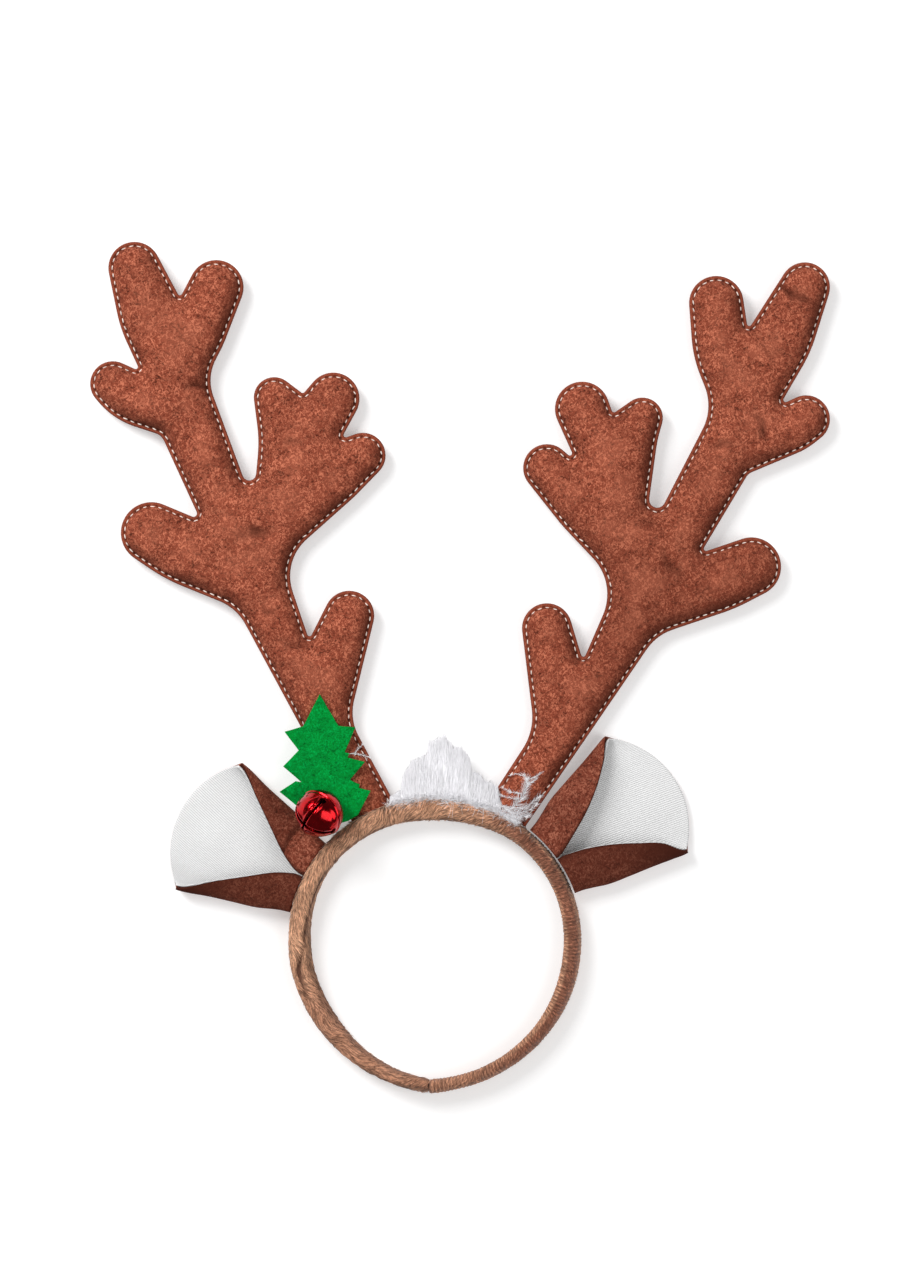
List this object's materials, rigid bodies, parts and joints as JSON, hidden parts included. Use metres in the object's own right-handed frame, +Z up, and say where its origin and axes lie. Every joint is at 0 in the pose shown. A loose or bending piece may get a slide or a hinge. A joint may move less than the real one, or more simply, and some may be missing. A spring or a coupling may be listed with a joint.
{
  "type": "reindeer antler headband",
  "caption": "Plush costume headband with padded felt antlers, folded lined ears, white fluff, a felt fir tree and a round jingle bell, lying on its back.",
  "frame": {"origin": "under the middle of the whole, on the surface that it lies on", "axes": "+X to the right as one looks down on it, +Y towards the antlers' tips, +Z up, away from the surface it lies on"},
  "size_m": [0.3253, 0.3747, 0.0347],
  "materials": {
    "plush": "short tan-brown pile",
    "brown_felt": "mottled matt felt",
    "white_cloth": "fine white twill",
    "white_fluff": "soft white down",
    "green_felt": "matt felt",
    "red_metal": "glossy metallic lacquer",
    "steel": "plain"
  },
  "bodies": {
    "root": {"headband": "plush", "antler_left_front": "brown_felt", "antler_left_back": "brown_felt", "antler_right_front": "brown_felt", "antler_right_back": "brown_felt", "ear_left_felt": "brown_felt", "ear_left_lining": "white_cloth", "ear_right_felt": "brown_felt", "ear_right_lining": "white_cloth", "fluff": "white_fluff", "tree": "green_felt", "bell_bowl": "red_metal", "bell_cap": "red_metal", "bell_pellet": "steel"}
  },
  "joints": []
}
